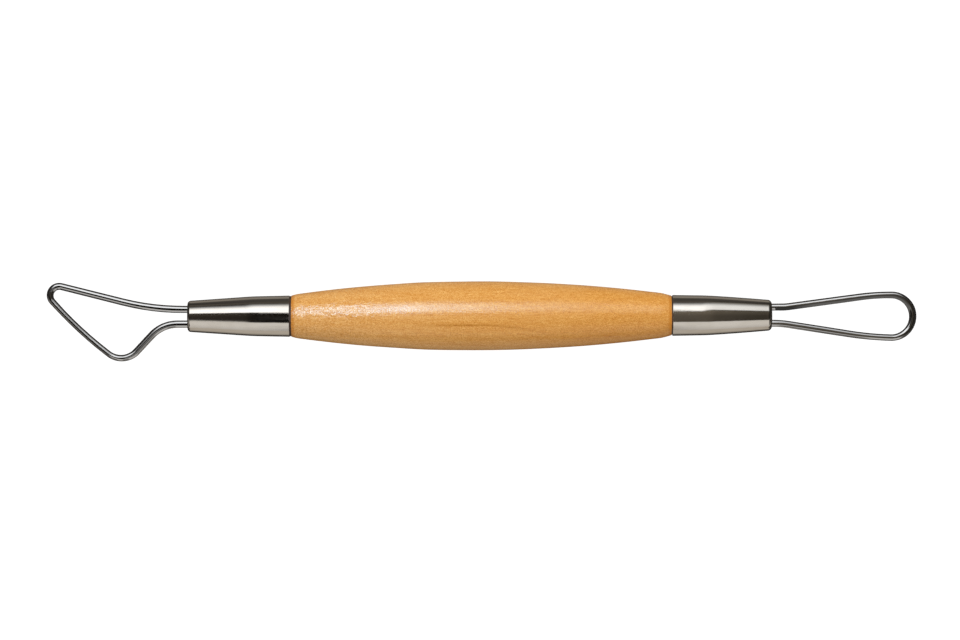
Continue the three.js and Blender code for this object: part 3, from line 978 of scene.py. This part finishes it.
for body_lamp in (
    wood_lamp("body_lamp", -290, 150, 11, 40, 3.15, NEUTRAL),
    wood_lamp("body_lamp_right", 60, 300, 32, 62, 1.7, NEUTRAL),
):
    body_lamp.visible_glossy = False
for shine_lamp in (
    wood_lamp("veil_lamp", -300, 300, -75, -38, 0.5, (1, 0.98, 0.95)),
    wood_lamp("shine_far_left", -330, -225, 14, 30, 6.0, (0.4, 0.76, 1)),
    wood_lamp("shine_left", -225, -130, 15, 33, 33.0, (0.4, 0.76, 1)),
    wood_lamp("shine_middle", -130, -20, 14, 41, 5.9, (0.35, 0.75, 1)),
    wood_lamp("shine_right", -20, 60, 14, 45, 2.6, (0.3, 0.8, 1)),
    wood_lamp("shine_far_right", 130, 270, 13, 50, 1.6, (0.6, 0.95, 0.9)),
):
    shine_lamp.visible_diffuse = False

# %% [markdown]
# ## What the metal mirrors
# The look of polished metal comes from what stands round it. Here that is a soft box above and
# beyond the tool, a black card round the lens, a pale reflector on the near side and dark flags.
# They are painted on one large sheet, bent round the tool's axis like a tunnel, that only mirror
# reflections see.
#
# A place on that sheet has two coordinates: x along the tool, in millimetres, and the angle round
# the axis, in degrees, with 0 straight up and +90 beyond the tool. Seen from above, the barrels
# mirror it about 70 mm from the middle, the tapers about 150 mm, and the wires all along.

# %% Levels of the studio
def within(value, low, high, softness):
    """1 from low to high, and 0 outside, with soft edges."""
    return hump(value, low - softness, low + softness, high - softness, high + softness)


def soft_box(x, angle):
    """White, between a lower and an upper edge that both vary along the tool."""
    low = stops(
        x,
        (-150, 21), (-93, 21.4), (-80, 15), (-20, 10), (30, 12), (50, 36), (76, 36), (87, 23),
        (96, 23), (112, 29), (135, 34), (200, 32),
    )
    soft = stops(x, (96, 1), (112, 2.5), (300, 3))
    high = stops(x, (-190, 60), (-150, 56), (-125, 62), (90, 63), (110, 68), (150, 72), (200, 72))
    across = smoothstep(low - soft, low + soft, angle) * stops(
        angle - high, (-16, 1.6), (-12, 1.45), (-6, 1.2), (0, 0.69), (7, 0.29), (14, 0),
    )
    along = stops(x, (-450, 0.03), (-320, 1), (100, 1), (130, 0.75), (300, 0.4), (420, 0.03))
    return across * along


def black_card(x, angle):
    """Nearly black, a little paler where the photograph shows a grey band on the metal."""
    along = stops(
        x,
        (-400, 0.02), (-250, 0.02), (-225, 0.06), (-200, 0.06), (-130, 0.012), (-70, 0.007),
        (0, 0.03), (66, 0.12), (115, 0.14), (160, 0.09), (200, 0.06), (320, 0.03),
    )
    return along * stops(angle, (-36, 0.75), (-14, 0.8), (-3, 0.85), (8, 1.1), (22, 1.4))


def grey_flags(x, angle):
    """Two small grey cards in front of the black one, where only the wires mirror them."""
    flag = 0.38 * within(x, -65, 45, 12) * within(angle, -21, -3, 3)
    return flag + 0.4 * within(x, -268, -232, 10) * within(angle, 4, 18, 3)


def reflector(x, angle):
    """Pale grey on the near side. Where only the wires mirror it, its lowest part is dark."""
    edge = stops(x, (-330, -36), (-240, -24), (-200, -24), (-140, -37), (150, -37), (200, -34))
    softness = stops(x, (-300, 8), (-200, 8), (-140, 1.2), (150, 1.2), (200, 2))
    across = stops(angle, (-91, 0.6), (-76, 0.72), (-62, 0.8), (-45, 0.8), (-30, 0.7))
    across *= smoothstep(edge + softness, edge - softness, angle)
    wires_only = within(x, -76, 74, 8) + smoothstep(-206, -220, x)
    across *= 1 - 0.84 * wires_only * smoothstep(-50, -66, angle)
    return across * stops(x, (-450, 0.05), (-330, 1), (330, 1), (450, 0.05))


PALE_TINT = (1, 0.955, 0.9)
DARK_TINT = (1, 0.85, 0.66)
FLAG_TINT = (1, 0.88, 0.72)
NOTHING = 0.05  # below this level a card counts as absent, and the black card shows


def studio(x, angle):
    """Colour of the studio at a place along the tool and an angle round it."""
    white = soft_box(x, angle)
    pale = reflector(x, angle)
    in_front = pale < NOTHING and white < NOTHING and angle < 50
    dark = black_card(x, angle) if in_front else 0
    grey = grey_flags(x, angle) if in_front else 0
    flag = 0.09 * smoothstep(66, 80, angle)
    return [
        white + p * pale + d * dark + f * flag + grey
        for p, d, f in zip(PALE_TINT, DARK_TINT, FLAG_TINT)
    ]


# %% Hang the cards
STUDIO_HALF_LENGTH = 600  # millimetres, as the places along the tool are
ARC_END = 91  # degrees each way, to just below the level of the axis
mirrors = bpy.data.collections.new("mirrors_the_studio")
for ferrule, loop, plug in (
    (triangle_ferrule, triangle_loop, triangle_resin),
    (teardrop_ferrule, teardrop_loop, teardrop_resin),
):
    for piece in (ferrule, loop, plug):
        mirrors.objects.link(piece)


def card_paint(name, one_sided=False):
    """Sends the light that each point of a card has as its shade. One-sided, it is clear behind."""
    paint, tree = new_material(name)
    tree.nodes.clear()
    shade = add(tree, "Attribute", attribute_name="shade").outputs["Color"]
    light = add(tree, "Emission", {"Color": shade}).outputs[0]
    if one_sided:
        clear = add(tree, "BsdfTransparent").outputs[0]
        behind = add(tree, "NewGeometry").outputs["Backfacing"]
        light = add(tree, "MixShader", {0: behind, 1: light, 2: clear}).outputs[0]
    tree.links.new(light, add(tree, "OutputMaterial").inputs["Surface"])
    return paint


def card(name, rows, paint):
    """A sheet of card. Each row is a list of (place in metres, colour of the light it sends)."""
    bm = bmesh.new()
    shade = bm.verts.layers.float_color.new("shade")
    grid = []
    for row in rows:
        line = []
        for place, level in row:
            vert = bm.verts.new(place)
            vert[shade] = (*level, 1)
            line.append(vert)
        grid.append(line)
    for line, next_line in zip(grid, grid[1:]):
        for k in range(len(line) - 1):
            bm.faces.new([line[k], line[k + 1], next_line[k + 1], next_line[k]])
    sheet = new_piece(name, bm)
    sheet.data.materials.append(paint)
    sheet.visible_camera = False
    sheet.visible_diffuse = False
    sheet.visible_transmission = False
    sheet.visible_shadow = False
    return sheet


def tinted(level, tint):
    return [level * part for part in tint]


def on_arc(x, angle, radius=CARD_RADIUS):
    a = math.radians(angle)
    return (x * MM, radius * math.sin(a), radius * math.cos(a))


card_light = card_paint("card_light")
studio_cards = card("studio_cards", [
    [(on_arc(x, a), studio(x, a)) for x in steps(-STUDIO_HALF_LENGTH, STUDIO_HALF_LENGTH, 160)]
    for a in steps(-ARC_END, ARC_END, 182)
], card_light)
studio_cards.light_linking.receiver_collection = mirrors
DARK_END = 0.035
GREY_END = 0.2  # the near side of the left end is grey
END_TINT = (1, 0.9, 0.8)


def end_card(side, angle):
    """Colour of the card that closes the left (-1) or right (+1) end of the tunnel."""
    grey = GREY_END * smoothstep(-24, -40, angle) if side < 0 else 0
    return tinted(DARK_END + grey, END_TINT)


for side in (-1, 1):
    x = side * STUDIO_HALF_LENGTH
    end = card(f"end_card_{'left' if side < 0 else 'right'}", [
        [(on_arc(x, a, r), end_card(side, a)) for a in steps(-ARC_END, ARC_END, 24)]
        for r in (0.001, CARD_RADIUS)
    ], card_light)
    end.light_linking.receiver_collection = mirrors

# %% [markdown]
# ## Flags and painted shade close to the tool
# Dark strips lie on the table beside the tool. The darkest, right under it, is painted shade: it
# stands for the table in the tool's own shadow. The lower flanks of every round piece mirror the
# strips, the wood's too, which gives the tool its thin dark outline on the white ground. Under the
# loops all is dark.
#
# One small flag stands upright inside the teardrop loop and darkens what the upper arm mirrors of
# the near side, most of all next to the mouth. It is one-sided: from the lower arm it is clear.

# %% Flags and painted shade lying on the table
# Painted shade: the near-black levels from -12 to +4 mm stand for the table in the tool's own
# shadow.
FLAG_AND_SHADE_LEVELS = [  # distance to the +Y side of the axis in millimetres, and level
    (-600, 0.6), (-26, 0.55), (-17, 0.4), (-12, 0.05), (-5, 0.03), (4, 0.04), (9, 0.1), (13, 0.28),
    (20, 0.3), (26, 0.12), (32, 0.07), (600, 0.08),
]
LOOP_FLAG = 0.04
LOOP_PLACE = (71, 77)  # the dark under a loop fades in from here to there, either way along X
LOOP_NEAR_EDGE = (-60, -36)  # and across, on the near side
TABLE_TINT = (1, 0.9, 0.78)


def flag_and_shade_colour(x, y):
    level = stops(y, *FLAG_AND_SHADE_LEVELS)
    under_loop = smoothstep(*LOOP_PLACE, abs(x)) * smoothstep(*LOOP_NEAR_EDGE, y)
    return tinted(level + (LOOP_FLAG - level) * under_loop, TABLE_TINT)


card("table_flags_and_shade", [
    [
        ((x * MM, y * MM, table_height + 0.01 * MM), flag_and_shade_colour(x, y))
        for x in (-600, -77, -74, -71, 71, 74, 77, 600)
    ]
    for y in sorted([*LOOP_NEAR_EDGE, *[y for y, level in FLAG_AND_SHADE_LEVELS]])
], card_light)

# %% A one-sided flag inside the teardrop loop
FLAG_Y = 0.5
ARM_TINT = (1, 0.95, 0.88)
arm_flag = card("teardrop_arm_flag", [
    [
        ((x * MM, FLAG_Y * MM, (AXIS_HEIGHT + up) * MM), tinted(share * level, ARM_TINT))
        for x, share in ((68.8, 0.3), (73, 0.3), (78, 1), (98.5, 1))
    ]
    for up, level in ((-3, 0.2), (3, 0.2), (8, 0.1), (14, 0.06), (30, 0.06))
], card_paint("one_sided_card", one_sided=True))
if arm_flag.data.polygons[0].normal.y < 0:  # its face has to look at the upper arm
    arm_flag.data.flip_normals()
